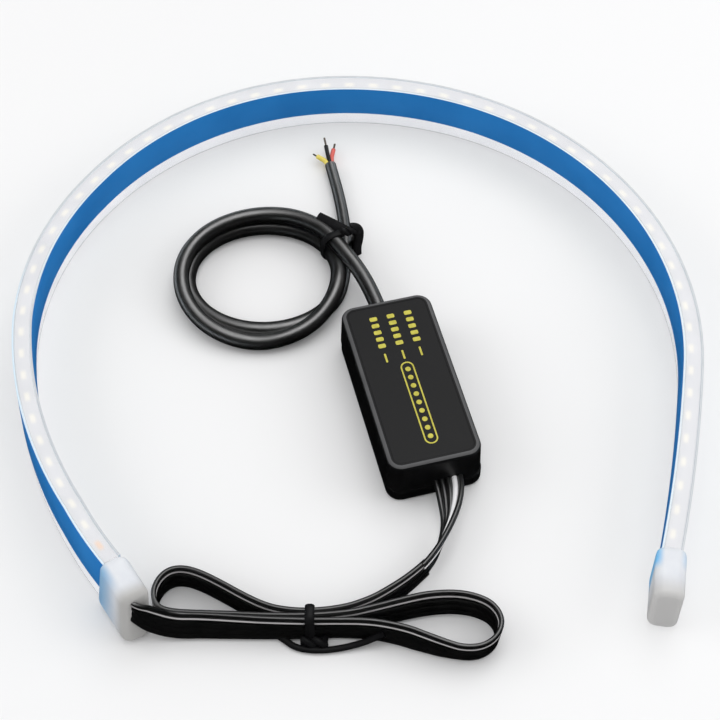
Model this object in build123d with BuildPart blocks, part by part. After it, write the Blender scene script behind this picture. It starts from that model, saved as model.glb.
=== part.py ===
"""Daytime running light: a bendable light strip on edge, its control box and the two leads."""
import math
import os

from build123d import *

os.makedirs("parts", exist_ok=True)

# Light strip: section, inward lean, and the arcs of its plan from the cable end round to the plain end
strip_thick = 4.45
strip_tall = 16.6
strip_bevel = 0.35
strip_lean = 6
strip_start = (-62.47, -80.25)
strip_heading = 131
strip_arcs = ((125, 37), (89.5, 92), (98.5, 32.5), (94, 67.5), (490, 6.9))

# Channel inside the strip
channel_wide = 1.7
channel_floor = 2.6
channel_roof = 2.4

# Circuit on the channel's inner wall, with its LEDs and resistors
flex_thick = 0.2
flex_gap = 0.4
flex_tab = 5.5
led_count = 60
led_first = 5.5
led_pitch = 7.45
led_long = 3.2
led_tall = 1.5
led_gap = 0.3
resistor_deep = 0.5
resistor_tall = 1.2
resistor_long = 2
resistor_up = 4.5
resistor_every = 3
joint_deep = 0.9
joint_tall = 0.9
joint_long = 1
joint_pitch = 1.2

# Tape and release film on both wide faces
tape_thick = 0.3
liner_thick = 0.12
film_gap = 0.02
tape_wide = 11
tape_margin = 0.4

# End caps
cap_long = 12
cap_wall = 1.68
cap_rise = 0.7
cap_corner = 2.4
cap_end_round = 1.8
cap_shoulder = 1
cap_pocket = 7

# Ribbon of five bonded cores, standing on edge
core_count = 5
core_pitch = 1.65
ribbon_low = 0.8
ribbon_in_cap = 6
wire_wide = 1.6

# Control box: base and cover meet at the parting line
box_wide = 25
box_long = 52.5
box_tall = 14.6
box_corner = 4
box_bevel = 1
box_wall = 1.6
box_floor = 1.5
box_turn = 14.5
box_centre = (14.35, -22.55)
base_tall = 4.4
lip_thick = 0.65
lip_tall = 1
lip_gap = 0.05
rail_wide = 1.2
rail_inset = 2

# Wire slot in the near end and cable notch in the far end of the cover
slot_across = 3.4
slot_pitch = 1.75
slot_gap = 0.1
wire_inside = 4
wire_outside = 1.7
cable_sill = 0.6
cable_gap = 0.05
cable_inside = 5
cable_outside = 4

# Board and what stands on it
board_thick = 1.2
board_drop = 0.8
board_gap = 0.3
board_end_gap = 1
pad_wide = 1.1
pad_long = 2.2
pad_tall = 0.4
pad_back = 0.6
supply_pad_tall = 0.8
chip_size = (6, 8.6, 1.6)
chip_at = (-2.5, 1)
transistor_size = (2.4, 2.9, 1.1)
transistor_margin = 3.6
transistor_row = -10.5
regulator_size = (4.5, 2.5, 1.5)
regulator_margin = 4.5
regulator_row = 4
diode_size = (4.3, 2.6, 2.1)
diode_margin = 4.4
diode_row = 10
can_radius = 2.5
can_tall = 5
can_margin = 4.3
can_row = 10
resistor_size = (0.8, 1.6, 0.45)
resistor_margin = 2.2
resistor_row = -5.8
capacitor_size = (1.25, 2, 0.9)
capacitor_margin = 6.2
capacitor_pitch = 3.2

# Supply cable: round sheath, three cores, a coil of two turns
cable_radius = 2.1
coil_centre = (-26.9, 21.2)
coil_radius = 21.9
coil_wide = 7
coil_low = 0.8
coil_bevel = 1.8
core_radius = 0.65
core_ring = 1
bare_radius = 0.35
supply_core_radius = 0.6
supply_core_pitch = 1.25
supply_core_long = 5

# Twist ties: a flat band round the bundle, then flat tails
band_thick = 0.6
band_wide = 2.4
band_gap = 0.06
bundle_gap = 0.22
tail_wide = 1.6
knot_radius = 1.4
knot_long = 5

# Values that follow from those above
lean = math.radians(strip_lean)
strip_side = strip_thick / 2
strip_rise = (strip_side - strip_bevel) * math.sin(lean)
tape_side = strip_side + film_gap + tape_thick / 2
liner_side = strip_side + 2 * film_gap + tape_thick + liner_thick / 2
film_up = strip_tall - tape_margin - tape_wide / 2
channel_side = channel_wide / 2
channel_tall = strip_tall - channel_floor - channel_roof
channel_up = channel_floor + channel_tall / 2
flex_out = flex_thick / 2 - channel_side
flex_side = flex_thick - channel_side
flex_tall = channel_tall - 2 * flex_gap
flex_low = channel_floor + flex_gap
led_deep = channel_wide - flex_thick - led_gap
cap_wide = strip_thick + 2 * cap_wall
cap_tall = strip_tall + cap_rise
ribbon_thick = core_pitch
ribbon_tall = core_count * core_pitch
ribbon_up = ribbon_low + ribbon_tall / 2
box_place = Plane((*box_centre, 0), x_dir=Vector(1, 0, 0).rotate(Axis.Z, box_turn), z_dir=(0, 0, 1))
box_end = box_long / 2
lip_inset = box_wall + lip_gap
tray_inset = lip_inset + lip_thick
board_wide = box_wide - 2 * (tray_inset + board_gap)
board_long = box_long - 2 * (tray_inset + board_end_gap)
board_low = base_tall - board_drop
board_top = board_low + board_thick
wire_up = board_top + pad_tall + wire_wide / 2
cable_up = base_tall + cable_sill + cable_radius
supply_core_up = board_top + supply_pad_tall + supply_core_radius
cable_low = coil_low + cable_radius
coil_tall = 4 * cable_radius


def across(point, tangent):
    """Plane across the strip: X outwards, Y up the leaning strip, Z along it."""
    outward = Vector(0, 0, 1).cross(tangent)
    tilted = outward * math.cos(lean) + Vector(0, 0, 1) * math.sin(lean)
    return Plane(point, x_dir=tilted, z_dir=tangent)


def shifted(plane, out, up, along=0):
    """The same plane moved within its own axes."""
    return Plane(plane.from_local_coords((out, up, along)), x_dir=plane.x_dir, z_dir=plane.z_dir)


def bends(points):
    """Radius at each corner of a route, from its shorter run and its turn."""
    radii = []
    for before, here, after in zip(points, points[1:], points[2:]):
        run_in = Vector(here) - Vector(before)
        run_out = Vector(after) - Vector(here)
        half_turn = math.radians(run_in.get_angle(run_out)) / 2
        radii.append(0.45 * min(run_in.length, run_out.length) / math.tan(half_turn))
    return radii


def upright(route):
    """Plane across the start of a route, X level and Y upwards."""
    level = Vector(route % 0).cross(Vector(0, 0, 1)).normalized()
    return Plane(route @ 0, x_dir=level, z_dir=route % 0)


# Centre line of the strip's foot
with BuildLine() as strip_line:
    foot = Vector(*strip_start, strip_rise)
    facing = Vector(1, 0, 0).rotate(Axis.Z, strip_heading)
    for arc_radius, arc_turn in strip_arcs:
        arc = JernArc(start=foot, tangent=facing, radius=arc_radius, arc_size=-arc_turn)
        foot = arc @ 1
        facing = arc % 1
strip_path = strip_line.wires()[0]
cable_end = across(strip_path @ 0, strip_path % 0)
plain_end = across(strip_path @ 1, strip_path % 1)


def station(along, out, up):
    """Plane across the strip at a distance along it, out and up within the section."""
    point = strip_path.position_at(along, PositionMode.LENGTH)
    tangent = strip_path.tangent_at(along, PositionMode.LENGTH)
    return shifted(across(point, tangent), out, up)


# Silicone profile with the circuit channel
with BuildPart() as strip_body:
    with BuildSketch(shifted(cable_end, 0, strip_tall / 2)) as profile:
        Rectangle(strip_thick, strip_tall)
        chamfer(profile.vertices(), length=strip_bevel)
        with Locations((0, channel_up - strip_tall / 2)):
            Rectangle(channel_wide, channel_tall, mode=Mode.SUBTRACT)
    sweep(path=strip_path)

# Flexible circuit along the channel's inner wall, with a tab that reaches into the cable cap
with BuildPart() as flex_circuit:
    with BuildSketch(shifted(cable_end, flex_out, channel_up)):
        Rectangle(flex_thick, flex_tall)
    sweep(path=strip_path)
    with BuildSketch(shifted(cable_end, flex_out, channel_up)):
        Rectangle(flex_thick, flex_tall)
    extrude(amount=-flex_tab)

# LEDs on the circuit, facing the top edge; the first one is amber
led_out = flex_side + led_deep / 2
led_up = strip_tall - channel_roof - led_gap - led_tall / 2
with BuildPart() as end_led:
    with Locations(station(led_first, led_out, led_up)):
        Box(led_deep, led_tall, led_long)

with BuildPart() as leds:
    with Locations(*[station(led_first + k * led_pitch, led_out, led_up) for k in range(1, led_count)]):
        Box(led_deep, led_tall, led_long)

# One resistor to every three LEDs, between two of them
with BuildPart() as strip_resistors:
    steps = [led_first + (k + 0.5) * led_pitch for k in range(0, led_count - 1, resistor_every)]
    resistor_out = flex_side + resistor_deep / 2
    with Locations(*[station(step, resistor_out, flex_low + resistor_up) for step in steps]):
        Box(resistor_deep, resistor_tall, resistor_long)

# Solder joints between circuit tab and ribbon cores
with BuildPart() as strip_joints:
    joint_out = flex_side + joint_deep / 2
    joint_along = joint_long / 2 - ribbon_in_cap
    for k in range(core_count):
        joint_up = flex_low + joint_tall / 2 + k * joint_pitch
        with Locations(shifted(cable_end, joint_out, joint_up, joint_along)):
            Box(joint_deep, joint_tall, joint_long)

# Tape and release film on the inner face
with BuildPart() as inner_tape:
    with BuildSketch(shifted(cable_end, -tape_side, film_up)):
        Rectangle(tape_thick, tape_wide)
    sweep(path=strip_path)

with BuildPart() as inner_liner:
    with BuildSketch(shifted(cable_end, -liner_side, film_up)):
        Rectangle(liner_thick, tape_wide)
    sweep(path=strip_path)

# Tape and release film on the outer face
with BuildPart() as outer_tape:
    with BuildSketch(shifted(cable_end, tape_side, film_up)):
        Rectangle(tape_thick, tape_wide)
    sweep(path=strip_path)

with BuildPart() as outer_liner:
    with BuildSketch(shifted(cable_end, liner_side, film_up)):
        Rectangle(liner_thick, tape_wide)
    sweep(path=strip_path)

# Route of the ribbon in plan: out of the cap, along the front, right loop, back, left loop, to the box
cap_axis = -(strip_path % 0)
cap_inward = Vector(0, 0, 1).cross(cap_axis)
ribbon_shift = (ribbon_up - strip_rise) * math.tan(lean)
ribbon_from = strip_path @ 0 + cap_axis * ribbon_in_cap + cap_inward * ribbon_shift
front_run = [(-53.8, -89.6), (-47.2, -92), (-33.2, -92.7), (-11.5, -92.6), (-0.2, -91.7), (11.3, -93.4)]
right_loop = [(21.8, -98), (27.8, -99.3), (33.3, -97.7), (37.3, -93.7), (36.8, -89.2), (32.8, -85.6)]
middle_run = [(25.3, -83.6), (15.2, -85), (3.8, -88.4), (-11.5, -90.7), (-24.2, -90.8), (-36.7, -90.2)]
left_loop = [(-46.7, -89.8), (-51.8, -87.3), (-52.1, -81.9), (-49.2, -77.6), (-44.5, -76), (-38.7, -78)]
back_run = [(-29.7, -83.6), (-20.7, -88), (-11.5, -88.8), (-3.7, -87.6), (4.3, -84.5), (12.3, -79.4)]
ribbon_end = (18.2, -73.6)
ribbon_plan = front_run + right_loop + middle_run + left_loop + back_run + [ribbon_end]
ribbon_points = [(ribbon_from.X, ribbon_from.Y, ribbon_up)] + [(x, y, ribbon_up) for x, y in ribbon_plan]
ribbon_radii = bends(ribbon_points)
with BuildLine() as ribbon_line:
    FilletPolyline(*ribbon_points, radius=ribbon_radii)
ribbon_path = ribbon_line.wires()[0]
with BuildPart() as ribbon_cable:
    with BuildSketch(upright(ribbon_path)):
        Rectangle(ribbon_thick, ribbon_tall)
    sweep(path=ribbon_path)

# Cap at the cable end: pocket for the joints, slot for the ribbon
with BuildPart() as cable_end_cap:
    with BuildSketch(shifted(cable_end, 0, cap_tall / 2)):
        RectangleRounded(cap_wide, cap_tall, cap_corner)
    extrude(amount=-cap_long)
    fillet(faces().sort_by(Axis(strip_path @ 0, cap_axis))[-1].edges(), radius=cap_end_round)
    chamfer(faces().sort_by(Axis(strip_path @ 0, cap_axis))[0].edges(), length=cap_shoulder)
    with BuildSketch(shifted(cable_end, 0, channel_up)):
        Rectangle(channel_wide, channel_tall)
    extrude(amount=-cap_pocket, mode=Mode.SUBTRACT)
    add(ribbon_cable.part, mode=Mode.SUBTRACT)

# Closed cap at the plain end
with BuildPart() as plain_end_cap:
    with BuildSketch(shifted(plain_end, 0, cap_tall / 2)):
        RectangleRounded(cap_wide, cap_tall, cap_corner)
    extrude(amount=cap_long)
    fillet(faces().sort_by(Axis(strip_path @ 1, strip_path % 1))[-1].edges(), radius=cap_end_round)
    chamfer(faces().sort_by(Axis(strip_path @ 1, strip_path % 1))[0].edges(), length=cap_shoulder)

# Cores of the ribbon, split apart and turned flat into the box: eight-sided tubes
wire_names = ("black_wire_1", "black_wire_2", "black_wire_3", "white_wire", "black_wire_4")
low_route = [(21.7, -67.6, 2), (22.6, -57.4, 4.4)]
high_route = [(24.6, -67.6, 8.4), (28.7, -57, 7.2)]
wires = {}
wire_radii = {}
for number, wire_name in enumerate(wire_names):
    share = number / (core_count - 1)
    slot_at = slot_across + (number - (core_count - 1) / 2) * slot_pitch
    wire_points = [Vector(*ribbon_end, ribbon_low + (number + 0.5) * core_pitch)]
    for low_point, high_point in zip(low_route, high_route):
        wire_points.append(Vector(*low_point) * (1 - share) + Vector(*high_point) * share)
    wire_points.append(box_place.from_local_coords(Vector(slot_at, -box_end - wire_outside, wire_up)))
    wire_points.append(box_place.from_local_coords(Vector(slot_at, -box_end + wire_inside, wire_up)))
    wire_radii[wire_name] = bends(wire_points)
    with BuildLine() as wire_line:
        FilletPolyline(*wire_points, radius=wire_radii[wire_name])
    wire_path = wire_line.wires()[0]
    with BuildPart() as wire:
        with BuildSketch(upright(wire_path)):
            RegularPolygon(wire_wide / 2, 8)
        sweep(path=wire_path)
        add(ribbon_cable.part, mode=Mode.SUBTRACT)
    wires[wire_name] = wire

# Twist tie round the three strands of the ribbon
tie_x = -11.5
front_strand = -92.5
back_strand = -88.6
bundle_front = front_strand - ribbon_thick / 2 - bundle_gap
bundle_back = back_strand + ribbon_thick / 2 + bundle_gap
bundle_low = ribbon_low - band_gap
bundle_high = ribbon_low + ribbon_tall + band_gap
bundle_mid = ((bundle_front + bundle_back) / 2, (bundle_low + bundle_high) / 2)
bundle_size = (bundle_back - bundle_front, bundle_high - bundle_low)
knot_sink = band_thick / 2
left_tail = [(-12.2, -95.7, 1.5), (-14.4, -96.8, 1.1), (-17.2, -96.1, 1), (-19.4, -94.7, 0.9)]
right_tail = [(-10.8, -95.8, 1.5), (-8.2, -96.8, 1.1), (-3.4, -96.6, 1.3), (2.8, -95.3, 3.2), (7.8, -95.1, 6)]
with BuildPart() as ribbon_tie:
    with BuildSketch(Plane.YZ.offset(tie_x - band_wide / 2)):
        with Locations(bundle_mid):
            Rectangle(bundle_size[0] + 2 * band_thick, bundle_size[1] + 2 * band_thick)
            Rectangle(*bundle_size, mode=Mode.SUBTRACT)
    extrude(amount=band_wide)
    with BuildSketch(Plane.YZ.offset(tie_x - knot_long / 2)):
        with Locations((bundle_front - band_thick - knot_radius + knot_sink, knot_radius + band_gap)):
            Circle(knot_radius)
    extrude(amount=knot_long)
    for tail in (left_tail, right_tail):
        with BuildLine() as tail_line:
            FilletPolyline(*tail, radius=bends(tail))
        with BuildSketch(upright(tail_line.wires()[0])):
            Rectangle(band_thick, tail_wide)
        sweep(path=tail_line.wires()[0])

# Control box, lower shell: tray, lip and two rails under the board
rail_apart = board_wide - 2 * rail_inset
rail_long = board_long - 2 * rail_inset
with BuildPart() as box_base:
    with BuildSketch(box_place):
        RectangleRounded(box_wide, box_long, box_corner)
    extrude(amount=base_tall)
    with BuildSketch(box_place.offset(base_tall)):
        RectangleRounded(box_wide - 2 * lip_inset, box_long - 2 * lip_inset, box_corner - lip_inset)
    extrude(amount=lip_tall)
    with BuildSketch(box_place.offset(box_floor)):
        RectangleRounded(box_wide - 2 * tray_inset, box_long - 2 * tray_inset, box_corner - tray_inset)
    extrude(amount=base_tall + lip_tall, mode=Mode.SUBTRACT)
    with BuildSketch(box_place.offset(base_tall)):
        with Locations((slot_across, -box_end)):
            Rectangle(core_count * slot_pitch, 2 * tray_inset + slot_gap)
        with Locations((0, box_end)):
            Rectangle(2 * (cable_radius + slot_gap), 2 * tray_inset + slot_gap)
    extrude(amount=lip_tall, mode=Mode.SUBTRACT)
    with BuildSketch(box_place.offset(box_floor)):
        with GridLocations(rail_apart, 0, 2, 1):
            Rectangle(rail_wide, rail_long)
    extrude(amount=board_low - box_floor)

# Control box, upper shell: bevelled top edge, wire slot and cable notch
with BuildPart() as box_cover:
    with BuildSketch(box_place.offset(base_tall)):
        RectangleRounded(box_wide, box_long, box_corner)
    extrude(amount=box_tall - base_tall)
    chamfer(faces().sort_by(Axis.Z)[-1].edges(), length=box_bevel)
    with BuildSketch(box_place.offset(base_tall)):
        RectangleRounded(box_wide - 2 * box_wall, box_long - 2 * box_wall, box_corner - box_wall)
    extrude(amount=box_tall - base_tall - box_wall, mode=Mode.SUBTRACT)
    with BuildSketch(box_place.offset(base_tall)):
        with Locations((slot_across, -box_end)):
            Rectangle((core_count - 1) * slot_pitch + wire_wide + 2 * slot_gap, 2 * tray_inset)
    extrude(amount=wire_up + wire_wide / 2 + slot_gap - base_tall, mode=Mode.SUBTRACT)
    far_wall = Plane(box_place.from_local_coords((0, box_end - tray_inset, 0)), x_dir=box_place.x_dir,
                     z_dir=-box_place.y_dir)
    with BuildSketch(far_wall):
        with Locations((0, cable_up)):
            Circle(cable_radius + cable_gap)
        with Locations((0, (base_tall + cable_up) / 2)):
            Rectangle(2 * (cable_radius + cable_gap), cable_up - base_tall)
    extrude(amount=-2 * tray_inset, mode=Mode.SUBTRACT)

# Circuit board on the rails
with BuildPart() as control_board:
    with BuildSketch(box_place.offset(board_low)):
        Rectangle(board_wide, board_long)
    extrude(amount=board_thick)

# Parts that stand on the board
board_face = box_place.offset(board_top)
board_side = board_wide / 2
on_board = (Align.CENTER, Align.CENTER, Align.MIN)
with BuildPart(board_face) as controller_chip:
    with Locations(chip_at):
        Box(*chip_size, align=on_board)

with BuildPart(board_face) as transistors:
    with Locations((0, transistor_row)):
        with GridLocations(2 * (board_side - transistor_margin) / (core_count - 2), 0, core_count - 1, 1):
            Box(*transistor_size, align=on_board)

with BuildPart(board_face) as regulator:
    with Locations((board_side - regulator_margin, regulator_row)):
        Box(*regulator_size, align=on_board)

with BuildPart(board_face) as capacitor:
    with Locations((board_side - can_margin, can_row)):
        Cylinder(can_radius, can_tall, align=on_board)

with BuildPart(board_face) as diode:
    with Locations((diode_margin - board_side, diode_row)):
        Box(*diode_size, align=on_board)

with BuildPart(board_face) as board_resistors:
    with Locations((0, resistor_row)):
        with GridLocations(2 * (board_side - resistor_margin) / (2 * core_count - 3), 0, 2 * core_count - 2, 1):
            Box(*resistor_size, align=on_board)

with BuildPart(board_face) as board_capacitors:
    with Locations((board_side - capacitor_margin, chip_at[1] - capacitor_pitch)):
        with GridLocations(0, capacitor_pitch, 1, 2):
            Box(*capacitor_size, align=on_board)

# Solder joints under the ends of the eight wires
near_pad = -box_end + wire_inside - pad_back
far_pad = box_end - cable_inside - supply_core_long + pad_back
with BuildPart(board_face) as board_joints:
    with Locations((slot_across, near_pad)):
        with GridLocations(slot_pitch, 0, core_count, 1):
            Box(pad_wide, pad_long, pad_tall, align=on_board)
    with Locations((0, far_pad)):
        with GridLocations(supply_core_pitch, 0, 3, 1):
            Box(pad_wide, pad_long, supply_pad_tall, align=on_board)

# Coil of the supply cable: the outer shape of its two turns
with BuildPart() as power_coil:
    with BuildSketch(Plane.XY.offset(coil_low)):
        with Locations(coil_centre):
            Circle(coil_radius + coil_wide / 2)
            Circle(coil_radius - coil_wide / 2, mode=Mode.SUBTRACT)
    extrude(amount=coil_tall)
    chamfer(edges(), length=coil_bevel)

# Supply cable from the box to the coil
lead_points = [box_place.from_local_coords(Vector(0, box_end - cable_inside, cable_up))]
lead_points.append(box_place.from_local_coords(Vector(0, box_end + cable_outside, cable_up)))
lead_points.append(Vector(1.4, 19.2, 7.4))
lead_points.append(Vector(-5.6, 29.6, 7.4))
lead_radii = bends(lead_points)
with BuildLine() as lead_line:
    FilletPolyline(*lead_points, radius=lead_radii)
lead_path = lead_line.wires()[0]
with BuildPart() as power_lead:
    with BuildSketch(upright(lead_path)):
        Circle(cable_radius)
    sweep(path=lead_path)
    add(power_coil.part, mode=Mode.SUBTRACT)

# Cores of the supply cable inside the box
with BuildPart() as supply_cores:
    with BuildSketch(Plane(lead_points[0], x_dir=-box_place.x_dir, z_dir=-box_place.y_dir)):
        with Locations((0, supply_core_up - cable_up)):
            with GridLocations(supply_core_pitch, 0, 3, 1):
                Circle(supply_core_radius)
    extrude(amount=supply_core_long)

# Supply cable from the coil to its cut end
tail_plan = [(-3.4, 25.6, 0), (-3.1, 38.5, 0), (-5, 52.2, 0.1), (-7.9, 65.6, 0.4)]
tail_points = [(x, y, cable_low + rise) for x, y, rise in tail_plan]
tail_radii = bends(tail_points)
with BuildLine() as tail_run:
    FilletPolyline(*tail_points, radius=tail_radii)
tail_path = tail_run.wires()[0]
with BuildPart() as power_tail:
    with BuildSketch(upright(tail_path)):
        Circle(cable_radius)
    sweep(path=tail_path)
    add(power_coil.part, mode=Mode.SUBTRACT)

# Cores past the sheath, each with a stripped end
cut_end = Plane(tail_path @ 1, x_dir=Vector(tail_path % 1).cross(Vector(0, 0, 1)), z_dir=tail_path % 1)
core_turns = {"core_yellow": 210, "core_black": 90, "core_red": 330}
core_tips = {"core_yellow": (-12.3, 69.2, 3.3), "core_black": (-9.7, 73.6, 4.6), "core_red": (-7.1, 72.2, 3.2)}
bare_runs = {"core_yellow": 1.6, "core_black": 3.6, "core_red": 2.6}
cores = {}
stripped = []
for core_name, core_turn in core_turns.items():
    core_out = core_ring * math.cos(math.radians(core_turn))
    core_up = core_ring * math.sin(math.radians(core_turn))
    core_start = cut_end.from_local_coords(Vector(core_out, core_up, 0))
    core_run = Vector(*core_tips[core_name]) - core_start
    with BuildPart() as core:
        with BuildSketch(shifted(cut_end, core_out, core_up)):
            Circle(core_radius)
        extrude(amount=core_run.length, dir=core_run.normalized())
    cores[core_name] = core
    tip_plane = Plane(core_start + core_run, x_dir=cut_end.x_dir, z_dir=cut_end.z_dir)
    stripped.append((tip_plane, core_run.normalized(), bare_runs[core_name]))

with BuildPart() as bare_ends:
    for tip_plane, tip_facing, bare_run in stripped:
        with BuildSketch(tip_plane):
            Circle(bare_radius)
        extrude(amount=bare_run, dir=tip_facing)

# Twist tie round coil and tail
tie_turn = 30
tie_plane = Plane((*coil_centre, 0), x_dir=Vector(1, 0, 0).rotate(Axis.Z, tie_turn),
                  z_dir=Vector(0, -1, 0).rotate(Axis.Z, tie_turn))
tail_slant = 1.2
band_in = coil_radius - coil_wide / 2 - band_gap
band_out = coil_radius + coil_wide / 2 + 2 * cable_radius + tail_slant
band_low = coil_low - band_gap
band_high = coil_low + coil_tall + band_gap
stub_up = band_high + band_thick
stub_points = [(-1.4, 35.6, stub_up), (-6.2, 38.8, stub_up), (-10.8, 40.8, stub_up)]
loop_points = [(-0.1, 37, 8.9), (2.3, 35.4, 8.4), (3.2, 32.2, 6), (1.7, 30, 3.2)]
with BuildPart() as coil_tie:
    with BuildSketch(tie_plane.offset(-band_wide / 2)):
        with Locations(((band_in + band_out) / 2, (band_low + band_high) / 2)):
            Rectangle(band_out - band_in + 2 * band_thick, band_high - band_low + 2 * band_thick)
            Rectangle(band_out - band_in, band_high - band_low, mode=Mode.SUBTRACT)
    extrude(amount=band_wide)
    for tail in (stub_points, loop_points):
        with BuildLine() as tail_line:
            FilletPolyline(*tail, radius=bends(tail))
        with BuildSketch(upright(tail_line.wires()[0])):
            Rectangle(tail_wide, band_thick)
        sweep(path=tail_line.wires()[0])

# Files
built = {
    "strip_body": strip_body,
    "flex_circuit": flex_circuit,
    "leds": leds,
    "end_led": end_led,
    "strip_resistors": strip_resistors,
    "strip_joints": strip_joints,
    "inner_tape": inner_tape,
    "inner_liner": inner_liner,
    "outer_tape": outer_tape,
    "outer_liner": outer_liner,
    "cable_end_cap": cable_end_cap,
    "plain_end_cap": plain_end_cap,
    "ribbon_cable": ribbon_cable,
    "ribbon_tie": ribbon_tie,
    "box_cover": box_cover,
    "box_base": box_base,
    "control_board": control_board,
    "controller_chip": controller_chip,
    "transistors": transistors,
    "regulator": regulator,
    "capacitor": capacitor,
    "diode": diode,
    "board_resistors": board_resistors,
    "board_capacitors": board_capacitors,
    "board_joints": board_joints,
    "supply_cores": supply_cores,
    "power_lead": power_lead,
    "power_coil": power_coil,
    "power_tail": power_tail,
    "coil_tie": coil_tie,
    "bare_ends": bare_ends,
}
built.update(wires)
built.update(cores)
for name, piece in built.items():
    piece.part.label = name
    export_step(piece.part, f"parts/{name}.step")

# Lengths and bend radii of strip and leads
print("strip length", round(strip_path.length, 1))
print("ribbon length", round(ribbon_path.length, 1), "radii", [round(r, 1) for r in ribbon_radii])
print("ribbon volume share", round(ribbon_cable.part.volume / (ribbon_path.length * ribbon_tall * ribbon_thick), 3))
print("lead length", round(lead_path.length, 1), "radii", [round(r, 1) for r in lead_radii])
print("tail length", round(tail_path.length, 1), "radii", [round(r, 1) for r in tail_radii])
for wire_name in wire_names:
    print(wire_name, "radii", [round(r, 1) for r in wire_radii[wire_name]])
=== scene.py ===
import math

import bpy
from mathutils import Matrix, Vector


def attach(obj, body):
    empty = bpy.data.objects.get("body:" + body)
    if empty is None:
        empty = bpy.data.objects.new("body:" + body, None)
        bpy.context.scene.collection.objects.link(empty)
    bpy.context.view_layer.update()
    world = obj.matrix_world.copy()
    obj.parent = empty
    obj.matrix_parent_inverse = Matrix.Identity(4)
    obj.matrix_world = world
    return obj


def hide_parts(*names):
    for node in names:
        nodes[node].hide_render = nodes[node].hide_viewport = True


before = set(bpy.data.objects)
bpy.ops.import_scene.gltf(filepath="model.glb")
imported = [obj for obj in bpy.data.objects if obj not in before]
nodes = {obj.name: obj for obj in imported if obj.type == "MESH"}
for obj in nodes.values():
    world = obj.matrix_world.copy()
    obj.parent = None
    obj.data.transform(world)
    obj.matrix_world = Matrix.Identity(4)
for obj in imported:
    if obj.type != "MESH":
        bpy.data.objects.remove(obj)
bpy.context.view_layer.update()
scene = bpy.context.scene
scene.view_settings.view_transform = "Standard"
MM = 0.001


def mm(x, y, z=0.0):
    """A point in metres from one in mm."""
    return Vector((x * MM, y * MM, z * MM))


# Camera
camera_place = (1.1, -303.3, 410.2)
camera_tilt = 36
lens = bpy.data.cameras.new("camera")
lens.lens = 90
lens.sensor_width = 36
camera = bpy.data.objects.new("camera", lens)
camera.location = mm(*camera_place)
camera.rotation_euler = (math.radians(camera_tilt), 0, 0)
scene.collection.objects.link(camera)
scene.camera = camera


# Mesh helpers
def built(name, verts, faces, marks=None, uv=None, crease=35):
    """A mesh object from points, faces, a material number per face and a uv pair per face corner."""
    mesh = bpy.data.meshes.new(name)
    mesh.from_pydata([tuple(v) for v in verts], [], faces)
    for polygon in mesh.polygons:
        polygon.use_smooth = True
    if marks:
        mesh.polygons.foreach_set("material_index", marks)
    if uv:
        layer = mesh.uv_layers.new(name="uv")
        layer.data.foreach_set("uv", [n for pair in uv for n in pair])
    mesh.set_sharp_from_angle(angle=math.radians(crease))
    mesh.update()
    made = bpy.data.objects.new(name, mesh)
    scene.collection.objects.link(made)
    return made


def swept(name, line, frames, section, closed=False, edge_marks=None, uv_of=None, crease=35):
    """A section in mm carried along a line of points with a side and an up direction at each."""
    count = len(section)
    verts = []
    for place, (side, up) in zip(line, frames):
        verts += [place + side * (x * MM) + up * (y * MM) for x, y in section]
    along = [0.0]
    for a, b in zip(line, line[1:]):
        along.append(along[-1] + (b - a).length / MM)
    round_ = [0.0]
    for a, b in zip(section, section[1:] + section[:1]):
        round_.append(round_[-1] + math.hypot(b[0] - a[0], b[1] - a[1]))
    faces, marks, uv = [], [], []
    last = len(line) if closed else len(line) - 1
    for i in range(last):
        n = (i + 1) % len(line)
        for j in range(count):
            k = (j + 1) % count
            faces.append((i * count + j, i * count + k, n * count + k, n * count + j))
            marks.append(edge_marks[j] if edge_marks else 0)
            for a, b in ((i, j), (i, j + 1), (i + 1, j + 1), (i + 1, j)):
                if uv_of:
                    uv.append(uv_of(a, b % count))
                else:
                    length = along[a] if a < len(along) else along[-1] + 1
                    uv.append((length, round_[b]))
    if not closed:
        for row, turn in ((0, -1), (len(line) - 1, 1)):
            faces.append(tuple(row * count + j for j in range(count))[::turn])
            marks.append(0)
            for j in range(count):
                uv.append(uv_of(row, j) if uv_of else (along[row], round_[j]))
    return built(name, verts, faces, marks, uv, crease)


def ringed(first, rings, count):
    """Faces between rings of count points each, the first ring's points numbered from first on."""
    faces = []
    for ring in range(rings - 1):
        low = first + ring * count
        high = low + count
        for j in range(count):
            k = (j + 1) % count
            faces.append((low + j, low + k, high + k, high + j))
    return faces


def rounded(wide, tall, radius, steps, middle=(0, 0)):
    """Points of a rounded rectangle, anticlockwise, in mm."""
    points = []
    for quarter, (sx, sy) in enumerate(((1, 1), (-1, 1), (-1, -1), (1, -1))):
        for step in range(steps + 1):
            turn = math.radians(90 * (quarter + step / steps))
            points.append((middle[0] + sx * (wide / 2 - radius) + radius * math.cos(turn),
                           middle[1] + sy * (tall / 2 - radius) + radius * math.sin(turn)))
    return points


def upright(line):
    """Side and up directions along a line whose section stays upright."""
    found = []
    for i in range(len(line)):
        ahead = line[min(i + 1, len(line) - 1)] - line[max(i - 1, 0)]
        side = Vector((ahead.y, -ahead.x, 0)).normalized()
        found.append((side, side.cross(ahead.normalized()).normalized()))
    return found


def carried(line, first_up):
    """Side and up directions carried along a line with the least turn."""
    found = []
    up = Vector(first_up)
    for i in range(len(line)):
        ahead = (line[min(i + 1, len(line) - 1)] - line[max(i - 1, 0)]).normalized()
        up = (up - ahead * up.dot(ahead)).normalized()
        found.append((ahead.cross(up).normalized(), up.copy()))
    return found


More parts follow.
